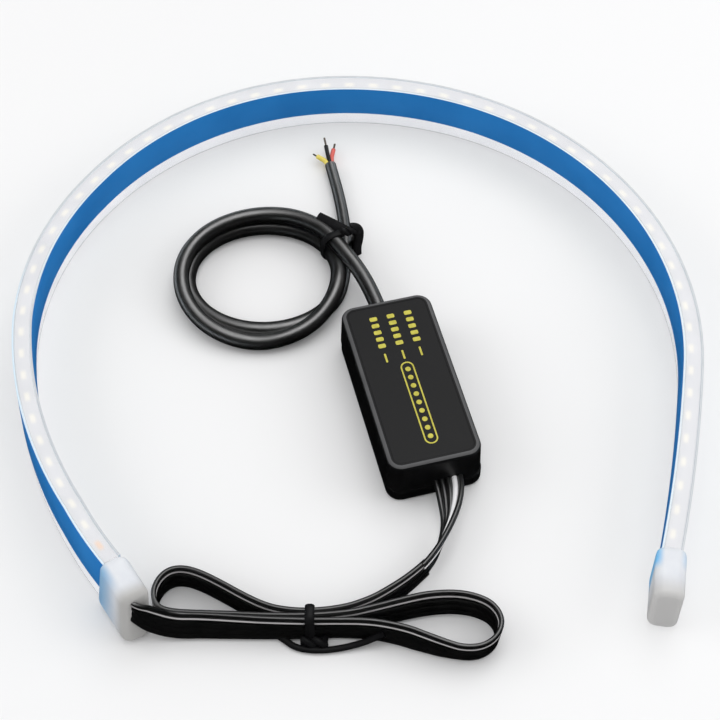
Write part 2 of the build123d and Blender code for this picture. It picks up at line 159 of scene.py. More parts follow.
def threaded(curve, points, fine, swell=()):
    """Adds an open spline with these control points, in mm, and a share of the thickness at each."""
    spline = curve.splines.new("NURBS")
    spline.points.add(len(points) - 1)
    for slot, (x, y, z) in zip(spline.points, points):
        slot.co = (x * MM, y * MM, z * MM, 1)
    for slot, share in zip(spline.points, swell):
        slot.radius = share
    spline.order_u = 3
    spline.use_endpoint_u = True
    spline.resolution_u = fine


def nurbs(name, points, thick=0.0, fine=8, sides=5, swell=()):
    """A round curve of one open spline, its thickness in mm."""
    curve = bpy.data.curves.new(name, "CURVE")
    curve.dimensions = "3D"
    threaded(curve, points, fine, swell)
    curve.bevel_depth = thick * MM / 2
    curve.bevel_resolution = sides
    curve.use_fill_caps = thick > 0
    made = bpy.data.objects.new(name, curve)
    scene.collection.objects.link(made)
    return made


def followed(name, points, fine=8):
    """Points read from the spline of these control points, in metres."""
    guide = nurbs(name, points, fine=fine)
    bpy.context.view_layer.update()
    seen = bpy.data.meshes.new_from_object(guide)
    line = [seen.vertices[0].co.copy()]
    for vertex in seen.vertices:
        if (vertex.co - line[-1]).length > 0.01 * MM:
            line.append(vertex.co.copy())
    bpy.data.objects.remove(guide)
    bpy.data.meshes.remove(seen)
    return line


def settled(made, slot, materials, *stands_for):
    """Gives a piece its materials and body, and hides the solids it stands for; the slot is not used."""
    for material in materials:
        made.data.materials.append(material)
    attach(made, "root")
    if stands_for:
        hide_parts(*stands_for)
    return made


def between(table, at):
    """The value at a place in a list of (place, value) pairs, in straight steps."""
    for (a, low), (b, high) in zip(table, table[1:]):
        if at <= b:
            return low + (high - low) * (at - a) / (b - a)
    return table[-1][1]


# Materials
drift_from, drift_to = 0.3, 0.7
bump_deep = 0.0001


def finish(name, low, high, scale, rough, bump=0.0, bump_scale=1500, **sockets):
    """A principled material whose colour and roughness drift between two ends, with a fine bump."""
    material = bpy.data.materials.new(name)
    material.use_nodes = True
    tree = material.node_tree
    shader = tree.nodes["Principled BSDF"]
    place = tree.nodes.new("ShaderNodeTexCoord").outputs["Object"]
    cloud = tree.nodes.new("ShaderNodeTexNoise")
    cloud.inputs["Scale"].default_value = scale
    cloud.inputs["Detail"].default_value = 4
    tree.links.new(place, cloud.inputs["Vector"])
    ramp = tree.nodes.new("ShaderNodeValToRGB")
    ramp.color_ramp.elements[0].position = drift_from
    ramp.color_ramp.elements[1].position = drift_to
    ramp.color_ramp.elements[0].color = (*low, 1)
    ramp.color_ramp.elements[1].color = (*high, 1)
    tree.links.new(cloud.outputs["Fac"], ramp.inputs["Fac"])
    tree.links.new(ramp.outputs["Color"], shader.inputs["Base Color"])
    span = tree.nodes.new("ShaderNodeMapRange")
    span.inputs["From Min"].default_value = drift_from
    span.inputs["From Max"].default_value = drift_to
    span.inputs["To Min"].default_value = rough[0]
    span.inputs["To Max"].default_value = rough[1]
    tree.links.new(cloud.outputs["Fac"], span.inputs["Value"])
    tree.links.new(span.outputs["Result"], shader.inputs["Roughness"])
    if bump:
        grain = tree.nodes.new("ShaderNodeTexNoise")
        grain.inputs["Scale"].default_value = bump_scale
        grain.inputs["Detail"].default_value = 3
        tree.links.new(place, grain.inputs["Vector"])
        raised = tree.nodes.new("ShaderNodeBump")
        raised.inputs["Strength"].default_value = bump
        raised.inputs["Distance"].default_value = bump_deep
        tree.links.new(grain.outputs["Fac"], raised.inputs["Height"])
        tree.links.new(raised.outputs["Normal"], shader.inputs["Normal"])
    for socket, value in sockets.items():
        shader.inputs[socket.replace("_", " ")].default_value = value
    return material


def mixed(tree, share, first, second):
    """A colour mix node's output, each input a socket or a colour."""
    mix = tree.nodes.new("ShaderNodeMix")
    mix.data_type = "RGBA"
    for slot, given in ((0, share), (6, first), (7, second)):
        if isinstance(given, bpy.types.NodeSocket):
            tree.links.new(given, mix.inputs[slot])
        else:
            mix.inputs[slot].default_value = given if slot == 0 else (*given, 1)
    return mix.outputs[2]


def worked(tree, operation, first, second=0.0):
    """A math node's output."""
    sum_ = tree.nodes.new("ShaderNodeMath")
    sum_.operation = operation
    for slot, given in ((0, first), (1, second)):
        if isinstance(given, bpy.types.NodeSocket):
            tree.links.new(given, sum_.inputs[slot])
        else:
            sum_.inputs[slot].default_value = given
    return sum_.outputs[0]


def faded(tree, value, full, none):
    """One below full, nothing above none, and a soft step between."""
    span = tree.nodes.new("ShaderNodeMapRange")
    span.interpolation_type = "SMOOTHSTEP"
    span.inputs["From Min"].default_value = full
    span.inputs["From Max"].default_value = none
    span.inputs["To Min"].default_value = 1
    span.inputs["To Max"].default_value = 0
    tree.links.new(value, span.inputs["Value"])
    return span.outputs[0]


def uv_parts(tree):
    """The two numbers of a mesh's uv."""
    uv_node = tree.nodes.new("ShaderNodeUVMap")
    parts = tree.nodes.new("ShaderNodeSeparateXYZ")
    tree.links.new(uv_node.outputs["UV"], parts.inputs["Vector"])
    return parts.outputs["X"], parts.outputs["Y"]


def opened(material):
    """A material's nodes, its colour input and the drifting colour that feeds it."""
    tree = material.node_tree
    colour = tree.nodes["Principled BSDF"].inputs["Base Color"]
    return tree, colour, colour.links[0].from_socket


# Strip: milky core, clear skin and lit top edge
silicone_low = (0.84, 0.85, 0.88)
silicone_high = (0.90, 0.905, 0.93)
soft_body = {"Subsurface_Weight": 0.5, "Subsurface_Radius": (1, 1, 1), "Subsurface_Scale": 0.003}
# Painted glow: a faint emission brightens the silicone core's shaded sides in place of light scattered
# through it
painted_glow = {"Emission_Color": (0.97, 0.98, 1.0, 1), "Emission_Strength": 0.28}
silicone = finish("silicone", silicone_low, silicone_high, 120, (0.32, 0.42), 0.05, 900, **soft_body, **painted_glow)
skin_silicone = finish("skin", silicone_low, silicone_high, 120, (0.30, 0.40), 0.05, 900, Alpha=0.25,
                       Specular_IOR_Level=0.3)
lit_edge = finish("lit_edge", (0.76, 0.76, 0.78), (0.80, 0.80, 0.82), 120, (0.28, 0.38), 0.05, 900,
                  **soft_body)

# Glow of the LEDs on the core's top, one per step of the first uv number
tree, colour, plain = opened(lit_edge)
count_along, out_across = uv_parts(tree)
off_along = worked(tree, "PINGPONG", count_along, 0.5)
off_across = worked(tree, "ABSOLUTE", out_across)
dot = worked(tree, "MULTIPLY", faded(tree, off_along, 0.06, 0.3), faded(tree, off_across, 0.2, 1.2))
first_one = worked(tree, "LESS_THAN", count_along, 0.5)
lamp = mixed(tree, first_one, (0.98, 0.94, 0.85), (0.95, 0.70, 0.53))
tree.links.new(mixed(tree, dot, plain, lamp), colour)


# End caps: how far across the blue is full, and how far along the painted shade of the closed end is full
cap_flank = 3.9
cap_shade_full = 12.8


def cap_finish(name, blue_from, blue_to, blue, shaded_end, shade_from, other_side):
    """Milky silicone, blue at its sides near the strip from the film, greyed with painted shade towards the
    closed end.
    """
    material = finish(name, (0.69, 0.71, 0.75), (0.76, 0.78, 0.81), 160, (0.36, 0.46), 0.08, 700, **soft_body)
    tree, colour, plain = opened(material)
    far_along, out_across = uv_parts(tree)
    beside = worked(tree, "SUBTRACT", 1.0, faded(tree, out_across, 1.6, cap_flank))
    across = worked(tree, "MULTIPLY", faded(tree, out_across, -cap_flank, -1.8), other_side)
    beside = worked(tree, "ADD", beside, across)
    tint = worked(tree, "MULTIPLY", beside, faded(tree, far_along, blue_from, blue_to))
    # Painted shade: the cap is greyed towards its closed end
    painted_shade = mixed(tree, faded(tree, far_along, shade_from, cap_shade_full), shaded_end, plain)
    tree.links.new(mixed(tree, tint, painted_shade, blue), colour)
    return material


# Each cap's closed-end grey is painted shade, darker on the cable cap
cable_cap = cap_finish("cable_cap", 1.0, 10.5, (0.26, 0.47, 0.70), (0.48, 0.475, 0.465), 8.0, 0.12)
plain_cap = cap_finish("plain_cap", 2.5, 6.0, (0.20, 0.56, 0.92), (0.58, 0.575, 0.57), 6.5, 0.3)

# Film and tape; a tape's edge carries painted light and shade, light blue where its face is turned to the
# front and grey on the far face, swapping where the strip turns its other wide face to the front
film = finish("film", (0.013, 0.18, 0.52), (0.018, 0.21, 0.58), 60, (0.42, 0.52), 0.03, 500,
              Specular_IOR_Level=0.12)
tape = finish("tape", (0.72, 0.82, 0.87), (0.79, 0.88, 0.92), 300, (0.3, 0.4), 0.03, 900)
painted_rim_turn = (85, 110)


def painted_rim_finish(name, low, high, first):
    """Edge of a tape layer with painted light and shade, in a tint of its own on the strip's first stretch.
    """
    material = finish(name, low, high, 300, (0.3, 0.4), 0.03, 900)
    tree, colour, plain = opened(material)
    mm_along = uv_parts(tree)[0]
    tree.links.new(mixed(tree, faded(tree, mm_along, *painted_rim_turn), plain, first), colour)
    return material


# Painted light and shade: the inner edge is grey on the first stretch and light blue beyond, the outer edge
# the other way round
inner_rim_painted = painted_rim_finish("inner_rim_painted", (0.72, 0.82, 0.87), (0.79, 0.88, 0.92), (0.60, 0.62, 0.65))
outer_rim_painted = painted_rim_finish("outer_rim_painted", (0.58, 0.60, 0.62), (0.66, 0.68, 0.70), (0.70, 0.83, 0.93))

# Cables, ties, box and bare ends
sheath = finish("sheath", (0.004, 0.004, 0.0045), (0.008, 0.008, 0.0085), 220, (0.34, 0.42), 0.08, 2200,
                Specular_IOR_Level=0.9, IOR=2.5)
ribbon_black = finish("ribbon_black", (0.004, 0.004, 0.0045), (0.007, 0.007, 0.0075), 260, (0.32, 0.40), 0.06,
                      2200, Specular_IOR_Level=0.8, IOR=2.1)
# Painted shade: the ribbon's white core is a darker grey copy of the split wire's white
ribbon_white_shaded = finish("ribbon_white_shaded", (0.42, 0.41, 0.415), (0.50, 0.485, 0.49), 260, (0.36, 0.46), 0.05, 2200)
wire_white = finish("wire_white", (0.82, 0.81, 0.82), (0.90, 0.89, 0.90), 260, (0.36, 0.46), 0.05, 2200)
tie_black = finish("tie_black", (0.005, 0.005, 0.006), (0.010, 0.010, 0.011), 400, (0.44, 0.54), 0.1, 1800,
                   Specular_IOR_Level=0.3)
# The lid's black is lighter than the sides': partly a matte lid finish, partly painted light on the top face
lid_black = finish("lid_black", (0.011, 0.011, 0.0118), (0.015, 0.015, 0.0158), 180, (0.42, 0.52), 0.15, 3000,
                   Specular_IOR_Level=0.3)
box_black = finish("box_black", (0.004, 0.004, 0.0045), (0.007, 0.007, 0.0075), 180, (0.38, 0.46), 0.12, 3000,
                   Specular_IOR_Level=0.35)
# Painted highlight: a lighter band on the cover's rounded top rim where light catches the edge
rim_painted_highlight = finish("rim_painted_highlight", (0.085, 0.085, 0.088), (0.105, 0.105, 0.108), 180, (0.42, 0.52), 0.12, 3000,
                   Specular_IOR_Level=0.35)
print_yellow = finish("print_yellow", (0.46, 0.41, 0.04), (0.62, 0.57, 0.08), 900, (0.45, 0.6), 0.1, 4000)
yellow = finish("yellow", (0.74, 0.60, 0.10), (0.86, 0.72, 0.18), 500, (0.36, 0.46), 0.05, 2000)
red = finish("red", (0.66, 0.11, 0.09), (0.80, 0.17, 0.14), 500, (0.36, 0.46), 0.05, 2000)
core_dark = finish("core_dark", (0.006, 0.006, 0.007), (0.015, 0.015, 0.016), 500, (0.36, 0.46), 0.05, 2000)
strands = finish("strands", (0.10, 0.085, 0.07), (0.30, 0.25, 0.20), 1500, (0.3, 0.5), 0.2, 6000,
                 Metallic=0.9)

# Supply cable, from the box over the coil's top turn and back under the lead to its cut end
cable_thick = 4.2
lead_points = [(9.03, -1.98, 7.1), (6.78, 6.74, 7.1), (1.9, 19.6, 7.6), (-5.2, 30.2, 8.3)]
# Each turn's middle and its radii in x and y; tables give height, share of the lower turn and bulge by angle
upper_ring = ((-27.65, 20.4), (22.55, 21.45))
lower_ring = ((-26.45, 22.5), (22.25, 19.0))
coil_height = [(45, 8.0), (67.5, 7.4), (90, 7.0), (135, 6.8), (180, 6.5), (225, 4.3), (270, 2.6),
               (315, 4.3), (337.5, 6.0), (360, 6.4), (382.5, 4.0), (405, 2.9), (427.5, 2.5), (697.5, 2.4),
               (720, 2.5)]
coil_lower = [(45, 0), (360, 0), (427.5, 1), (720, 1)]
coil_bulge = [(45, 1.6), (67.5, 1.2), (90, 0.5), (112.5, 0), (720, 0)]
coil_from, coil_step, coil_count = 45, 22.5, 31
spline_slack = 1.02
coil_points = []
for step in range(coil_count):
    angle = coil_from + coil_step * step
    turn = math.radians(angle)
    bulge = between(coil_bulge, angle)
    share = between(coil_lower, angle)
    waves = (math.cos(turn), math.sin(turn))
    place = []
    for upper, upper_radius, lower, lower_radius, wave in zip(*upper_ring, *lower_ring, waves):
        radius = spline_slack * (upper_radius + (lower_radius - upper_radius) * share) + bulge
        place.append(upper + (lower - upper) * share + radius * wave)
    coil_points.append((*place, between(coil_height, angle)))
tail_points = [(-3.0, 31.0, 2.7), (-3.1, 38.0, 2.5), (-3.9, 46.0, 2.1), (-5.1, 53.6, 2.0), (-6.4, 59.9, 2.0),
               (-7.9, 66.4, 2.3)]
swell = [1.06] * 4 + [1.08, 1.1] + [1.1] * 28 + [1.0, 0.92, 0.86, 0.83, 0.81, 0.8, 0.8]
power = nurbs("power_cable", lead_points + coil_points + tail_points, cable_thick, 6, 6, swell)
settled(power, "black_cable", [sheath], "power_lead", "power_coil", "power_tail")

# Cores past the sheath, each with its bare strands
strand_thick = 0.26
strand_count = 5
for name, bend, tip, bare, thick, coat in (
        ("core_yellow", (-9.3, 67.8, 2.4), (-13.1, 70.7, 2.3), 1.5, 1.45, yellow),
        ("core_black", (-8.6, 69.1, 2.9), (-9.8, 76.2, 3.6), 3.0, 1.25, core_dark),
        ("core_red", (-7.7, 69.0, 2.2), (-6.6, 75.0, 2.2), 2.3, 1.35, red)):
    start = (-7.5 + 0.3 * (bend[0] + 8.6), 65.0, 2.3)
    run = Vector(tip) - Vector(bend)
    stop = Vector(tip) - run.normalized() * bare
    core = nurbs(name + "_end", [start, bend, tuple(Vector(bend).lerp(stop, 0.5)), tuple(stop)], thick, 8, 4)
    settled(core, name, [coat], name)
    ends = []
    for strand in range(strand_count):
        turn = math.radians(360 / strand_count * strand + 20)
        wide = Vector((math.cos(turn), 0, math.sin(turn)))
        ends.append([tuple(stop - run.normalized() * 0.6 + wide * 0.16),
                     tuple(stop.lerp(Vector(tip), 0.5) + wide * 0.2),
                     tuple(Vector(tip) + wide * (0.14 + 0.05 * (strand % 3)))])
    bunch = nurbs(name + "_strands", ends[0], strand_thick, 4, 2)
    for points in ends[1:]:
        threaded(bunch.data, points, 4)
    settled(bunch, "tinned_copper", [strands], "bare_ends")

# Five-core ribbon, on edge, folded into two loops
ribbon_thick = 1.32
# Each core's middle and half height on the section
ribbon_cores = ((-3.6, 0.92), (-1.75, 0.95), (0.15, 0.95), (1.95, 0.74), (3.3, 0.66))
ribbon_up = 4.9
ribbon_points = [(-60.0, -83.4, 14.2), (-56.5, -89.9, 14.2), (-54.6, -91.3, 12.9), (-51.8, -91.3, 9.7),
                 (-48.9, -91.1, 6.7)]
ribbon_plan = [(-44.6, -91.1), (-39.7, -91.0), (-31, -91.4), (-22.4, -91.8), (-11.5, -91.9), (-3.6, -91.7),
               (4.1, -92.0), (11.1, -93.5), (16.6, -95.5), (21.5, -97.3), (27.4, -98.9), (32.2, -98.2),
               (35.5, -95.2), (36.4, -91.2), (34.5, -87.6), (31, -85.5), (25.6, -84.3), (18.5, -84.7),
               (11.1, -86.5), (5.5, -88.0), (-1.8, -89.7), (-11.5, -90.6), (-22.4, -90.75), (-31, -90.55),
               (-39.7, -90.25), (-46.6, -89.55), (-50.3, -87.7), (-51.3, -83.5), (-49.9, -79.6),
               (-47.2, -77.2), (-43.6, -76.9), (-39.4, -78.4), (-34.2, -81.3), (-28.2, -85.0),
               (-22.3, -88.0), (-16.7, -89.1), (-11.5, -89.3), (-5.8, -88.8), (0, -87.5), (5.4, -85.1),
               (10.6, -81.4), (14.8, -77.9), (18.2, -74.4)]
ribbon_points += [(x, y, ribbon_up) for x, y in ribbon_plan]
# Lean in degrees and share of the height, by distance in mm from the cap's end
ribbon_tilt = [(0, -9), (6, -12), (14, -19), (22, -22), (31, -18), (40, -13), (50, -9), (60, -6), (70, -9),
               (79, -11), (86, -4), (91, 3), (98, 4), (104, 6), (112, 13), (118, 15), (126, 16), (134, 14),
               (146, 8), (156, 9), (167, 13), (176, 17), (184, 17), (191, 11), (199, 0), (207, -6),
               (215, -8), (234, -9), (245, -9), (256, -9), (266, -13), (274, -12), (290, -8)]
ribbon_tall = [(0, 0.42), (4, 0.45), (8, 0.8), (12, 0.92), (17, 1), (260, 1), (278, 0.75), (400, 0.75)]
ribbon_hidden = 3.0
ribbon_line = followed("ribbon_guide", ribbon_points, 8)
ribbon_frames = []
run = -ribbon_hidden
for i, (side, up) in enumerate(upright(ribbon_line)):
    run += (ribbon_line[i] - ribbon_line[i - 1]).length / MM if i else 0.0
    tilt = math.radians(between(ribbon_tilt, run))
    tall = between(ribbon_tall, run)
    ribbon_frames.append((side * math.cos(tilt) - up * math.sin(tilt),
                          (up * math.cos(tilt) + side * math.sin(tilt)) * tall))
# Section: up one face core by core, down the other; only the white core's upper side is marked white, the
# rest of it left black as painted shade
white_core = 3
black_flat, white_flat = 0.72, 0.45
ribbon_section = []
ribbon_marks = []
for side in (1, -1):
    for core in range(5):
        number = core if side > 0 else 4 - core
        middle, half = ribbon_cores[number]
        for step in range(8):
            turn = math.radians((-70 + 20 * step) if side > 0 else (110 + 20 * step))
            rim = (number == 4 and math.sin(turn) > 0) or (number == 0 and math.sin(turn) < 0)
            flat = 0.0 if rim else black_flat if number < white_core else white_flat
            out = ribbon_thick / 2 * (flat * side + (1 - flat) * math.cos(turn))
            ribbon_section.append((out, middle + half * math.sin(turn)))
            white_shown_side = 3 < step < 6 if side > 0 else 0 < step < 3
            ribbon_marks.append(1 if number == white_core and white_shown_side else 0)
ribbon = swept("ribbon", ribbon_line, ribbon_frames, ribbon_section, edge_marks=ribbon_marks, crease=50)
settled(ribbon, "black_cable", [ribbon_black, ribbon_white_shaded], "ribbon_cable")

# The five cores, split apart, from the ribbon's end into the box
box_middle = (14.35, -22.55)
box_turn = math.radians(14.5)


def boxed(x, y, z):
    """A point of the box's own frame, in mm, as a point of the part's frame, in mm."""
    return (box_middle[0] + x * math.cos(box_turn) - y * math.sin(box_turn),
            box_middle[1] + x * math.sin(box_turn) + y * math.cos(box_turn), z)


wire_thick, wire_pitch = 1.55, 1.75
wire_across, wire_high = 3.4, 6.0
wires = ("black_wire_1", "black_wire_2", "black_wire_3", "white_wire", "black_wire_4")
for number, name in enumerate(wires):
    share = number / 4
    high = ribbon_up + 0.75 * ribbon_cores[number][0]
    at = wire_across + (number - 2) * wire_pitch
    blend = [tuple(Vector(a).lerp(Vector(b), share)) for a, b in
             (((21.3, -68.9, 1.6), (21.9, -69.2, 7.6)), ((23.3, -61.2, 3.2), (25.6, -61.6, 7.6)),
              ((22.4, -55.5, 5.0), (27.6, -55.0, 7.0)))]
    route = [(17.2, -75.4, high), (18.2, -74.4, high)] + blend
    route += [boxed(at, -27.95, wire_high), boxed(at, -22.25, wire_high)]
    wire = nurbs("split_" + name, route, wire_thick, 10, 4)
    white = name == "white_wire"
    settled(wire, "white_cable" if white else "black_cable", [wire_white if white else ribbon_black], name)

# Light strip, swept along five arcs, each of a radius and a turn
# Tables give its lean in degrees and its outward shift in mm by distance
strip_thick, strip_tall = 4.45, 16.6
strip_start, strip_heading = (-62.47, -80.25), 131
strip_lift, lean_lift = 0.05, 2.2
led_first, led_pitch = 5.5, 7.45
strip_arcs = ((125, 37), (89.5, 92), (98.5, 32.5), (94, 67.5), (490, 6.9))
strip_long = sum(radius * math.radians(turn) for radius, turn in strip_arcs)
strip_lean = [(0, 9.0), (20, 8.8), (40, 5.2), (60, 2.4), (85, 0.8), (110, 0.8), (140, 2.0), (180, 1.8),
              (225, 3.8), (270, 3.0), (300, 1.2), (340, -0.4), (390, 0.0), (500, 0.3)]
strip_shift = [(0, 0.7), (20, -0.1), (40, -0.7), (60, -1.0), (85, -1.0), (140, -1.3), (180, -1.1),
               (225, -0.6), (270, -0.55), (300, -1.0), (340, -1.2), (390, -0.95), (500, -0.85)]


def strip_at(along, turned=0.0):
    """Foot point, outward and up directions and heading of the strip's section at a distance in mm."""
    lean = math.radians(between(strip_lean, along))
    shift = between(strip_shift, along)
    x, y, heading = *strip_start, math.radians(strip_heading)
    for radius, turn in strip_arcs:
        run = min(along, radius * math.radians(turn))
        part = run / radius
        middle = (x + radius * math.sin(heading), y - radius * math.cos(heading))
        heading -= part
        x, y = middle[0] - radius * math.sin(heading), middle[1] + radius * math.cos(heading)
        along -= run
        if along <= 0:
            break
    x, y = x - shift * math.sin(heading), y + shift * math.cos(heading)
    heading += math.radians(turned)
    out = Vector((-math.sin(heading), math.cos(heading), 0))
    side = out * math.cos(lean) + Vector((0, 0, math.sin(lean)))
    up = Vector((0, 0, math.cos(lean))) - out * math.sin(lean)
    rise = strip_lift + lean_lift * abs(math.sin(lean))
    return mm(x, y, rise), side, up, Vector((math.cos(heading), math.sin(heading), 0))


station_count = 376
stations = [strip_long * i / (station_count - 1) for i in range(station_count)]
strip_line, strip_frames = [], []
for along in stations:
    foot, side, up, ahead = strip_at(along)
    strip_line.append(foot)
    strip_frames.append((side, up))
# How far inward of the middle the line of dots runs, by distance
dot_inward = [(0, -0.2), (110, -0.2), (170, 0.8), (300, 0.8), (500, 0.6)]


def strip_uv(section):
    """Uv of a strip section: the LED count along it, and the distance from the line of dots across it."""
    def found(i, j):
        return (stations[i] - led_first) / led_pitch, section[j][0] + between(dot_inward, stations[i])
    return found


def top_marks(section, above):
    """A material number per edge of a section: 1 above a height, 0 below."""
    return [1 if min(a[1], b[1]) > above else 0 for a, b in zip(section, section[1:] + section[:1])]


# A clear skin over a milky core, whose top carries the glow of the LEDs
skin_section = rounded(strip_thick, strip_tall, 0.25, 3, (0, strip_tall / 2))
skin = swept("strip_skin", strip_line, strip_frames, skin_section)
settled(skin, "milky_silicone", [skin_silicone], "strip_body")
core_section = rounded(4.2, 16.2, 0.3, 3, (0, 8.2))
core = swept("strip_core", strip_line, strip_frames, core_section, edge_marks=top_marks(core_section, 16.1),
             uv_of=strip_uv(core_section))
settled(core, "milky_silicone", [silicone, lit_edge])

# Tape and film on both wide faces; the film is kept out of reflections and bounced light
tape_tall, tape_middle = 11.2, 10.8
for name, side in (("inner", -1), ("outer", 1)):
    for part, near, thick, slot, coat in (("tape", 2.23, 0.36, "clear_tape", tape),
                                          ("liner", 2.6, 0.1, "blue_film", film)):
        layer = rounded(thick, tape_tall, 0.04, 2, (side * (near + thick / 2), tape_middle))
        made = swept(name + "_" + part + "_strip", strip_line, strip_frames, layer,
                     edge_marks=top_marks(layer, 16.3))
        settled(made, slot, [coat, inner_rim_painted if side < 0 else outer_rim_painted], name + "_" + part)
        made.visible_diffuse = part == "tape"
        made.visible_glossy = part == "tape"

# End caps, soft pillows a little larger than the strip, with a slanted closed end
cap_wide, cap_tall, cap_corner = 7.81, 17.3, 2.4
cap_round_long, cap_round_in = 1.8, 1.5
slant_from = 4
for name, along, way, turned, start, cap_long, slant, coat in (
        ("cable_end_cap", 0, -1, -8, -0.2, 13.4, (1.6, -1.0), cable_cap),
        ("plain_end_cap", strip_long, 1, 6, -0.9, 13.3, (0, 0), plain_cap)):
    foot, side, up, ahead = strip_at(along, turned)
    ahead = ahead * way
    profile = [(start, 0.9), (start + 0.25, 0.55), (start + 0.7, 0.25), (start + 1.4, 0.06)]
    profile += [(start + 2.2, 0.0), (3.5, 0.0), (5, 0.0), (6.5, 0.0), (8, 0.0), (9.5, 0.0)]
    for step in range(9):
        turn = math.radians(90 * step / 8)
        profile.append((cap_long - cap_round_long + cap_round_long * math.sin(turn),
                        cap_round_in * (1 - math.cos(turn))))
    verts, places = [], []
    for far, inset in profile:
        ring = rounded(cap_wide - 2 * inset, cap_tall - 2 * inset, max(cap_corner - 0.6 * inset, 1.0), 6,
                       (0, cap_tall / 2))
        ring = ring[::-1] if way < 0 else ring
        slanted = max(far - slant_from, 0) / (cap_long - slant_from)
        for x, y in ring:
            reach = far + slanted * (slant[0] + (slant[1] - slant[0]) * y / cap_tall)
            verts.append(foot + ahead * (reach * MM) + side * (x * MM) + up * (y * MM))
            places.append((far, -way * x))
    count = len(ring)
    faces = ringed(0, len(profile), count)
    faces.append(tuple(range(count))[::-1])
    faces.append(tuple((len(profile) - 1) * count + j for j in range(count)))
    cap = built(name + "_pillow", verts, faces, uv=[places[v] for face in faces for v in face], crease=60)
    settled(cap, "milky_silicone", [coat], name)
    cap.visible_diffuse = name == "cable_end_cap"

# Control box: heights and insets of the cover and of the base, with a groove where they part
box_wide, box_long, box_tall, box_corner = 25.7, 55.3, 15.0, 4.0
box_edge = 1.3
parting = 4.4
lid_recess = 0.12
rim_rings = 3


def shell(name, levels, wide, tall, shift, rim_from=None):
    """A closed shell of rounded rectangles, each at a height and an inset; rim faces are marked for a painted
    highlight, lid faces for the lid's lighter black.
    """
    verts, marks = [], []
    for high, inset in levels:
        for x, y in rounded(wide - 2 * inset, tall - 2 * inset, max(box_corner - inset, 0.4), 8):
            verts.append(mm(*boxed(x + shift[0], y + shift[1], high)))
    count = len(verts) // len(levels)
    faces = ringed(0, len(levels), count)
    for i in range(len(levels) - 1):
        mark = 0 if rim_from is None or i < rim_from else 2 if i < rim_from + rim_rings else 1
        marks += [mark] * count
    faces.append(tuple(range(count))[::-1])
    faces.append(tuple((len(levels) - 1) * count + j for j in range(count)))
    marks += [0, 0 if rim_from is None else 1]
    return built(name, verts, faces, marks, crease=28)


cover_levels = [(parting + 0.05, 1.2), (parting + 0.05, 0.0), (parting + 0.3, -0.3), (9.0, -0.15)]
for step in range(7):
    turn = math.radians(90 * step / 6)
    cover_levels.append((box_tall - box_edge + box_edge * math.sin(turn), box_edge * (1 - math.cos(turn))))
cover_levels += [(box_tall, 1.75), (box_tall - lid_recess, 1.9), (box_tall - lid_recess, 4.0)]
cover = shell("cover", cover_levels, box_wide, box_long, (0.2, 0.25), 7)
settled(cover, "box_black", [box_black, lid_black, rim_painted_highlight], "box_cover")
base_levels = [(0.0, 0.9), (0.12, 0.5), (0.35, 0.2), (0.8, 0.0), (parting - 0.35, 0.0), (parting - 0.1, 0.25),
               (parting - 0.02, 0.6), (parting - 0.02, 1.2)]
base = shell("base", base_levels, box_wide + 0.6, box_long + 0.2, (0.35, 0.0))
settled(base, "box_black", [box_black], "box_base")

# Plain marks on the lid: three rows of blocks with a dash after each, and a light bar with its lamps
lid_top = box_tall - lid_recess
mark_top = lid_top + 0.06


def slab(verts, faces, outline):
    """Adds a thin raised shape of the lid, its outline in the box's own frame."""
    first, count = len(verts), len(outline)
    for level in (lid_top, mark_top):
        verts += [mm(*boxed(x, y, level)) for x, y in outline]
    faces += ringed(first, 2, count)
    faces.append(tuple(first + count + j for j in range(count)))


verts, faces = [], []
for row in (-4.2, 0.7, 5.6):
    for step in range(5):
        slab(verts, faces, rounded(2.1, 1.35, 0.35, 2, (row, 22.0 - 2.35 * step)))
    slab(verts, faces, rounded(0.55, 3.0, 0.2, 2, (row, 8.4)))
for step in range(9):
    slab(verts, faces, rounded(1.5, 1.5, 0.74, 4, (0.6, 3.4 - 2.8 * step)))
outer, inner = (rounded(wide, wide + 23.6, wide / 2 - 0.02, 8, (0.6, -7.8)) for wide in (3.7, 2.9))
faces += ringed(len(verts), 4, len(outer))
for level, outline in ((lid_top, outer), (mark_top, outer), (mark_top, inner), (lid_top, inner)):
    verts += [mm(*boxed(x, y, level)) for x, y in outline]
settled(built("lid_marks", verts, faces), "box_black", [print_yellow])

# Twist ties: a band round the bundle, a twisted knot and loose ends
tie_section = [(-1.05, -0.18), (-0.8, -0.3), (0.8, -0.3), (1.05, -0.18), (1.1, 0.02), (0.85, 0.24),
               (0.35, 0.36), (-0.35, 0.36), (-0.85, 0.24), (-1.1, 0.02)]
band_section = [(1.12 * x, 1.3 * y + 0.1) for x, y in tie_section]
wide_section = [(1.35 * x, 1.2 * y) for x, y in tie_section]
cord_section = [(0.8 * x, 1.7 * y) for x, y in tie_section]
knot_steps = 12


def band(name, outline, place, section):
    """A tie carried round a closed outline of (a, b) points in mm, put in place by a function."""
    line = [place(a, b) for a, b in outline]
    frames = []
    for i in range(len(line)):
        ahead = (line[(i + 1) % len(line)] - line[i - 1]).normalized()
        a, b = outline[(i + 1) % len(line)], outline[i - 1]
        out = (place(a[1] - b[1], b[0] - a[0]) - place(0, 0)).normalized()
        frames.append((out.cross(ahead).normalized(), out))
    return swept(name, line, frames, section, closed=True, crease=50)


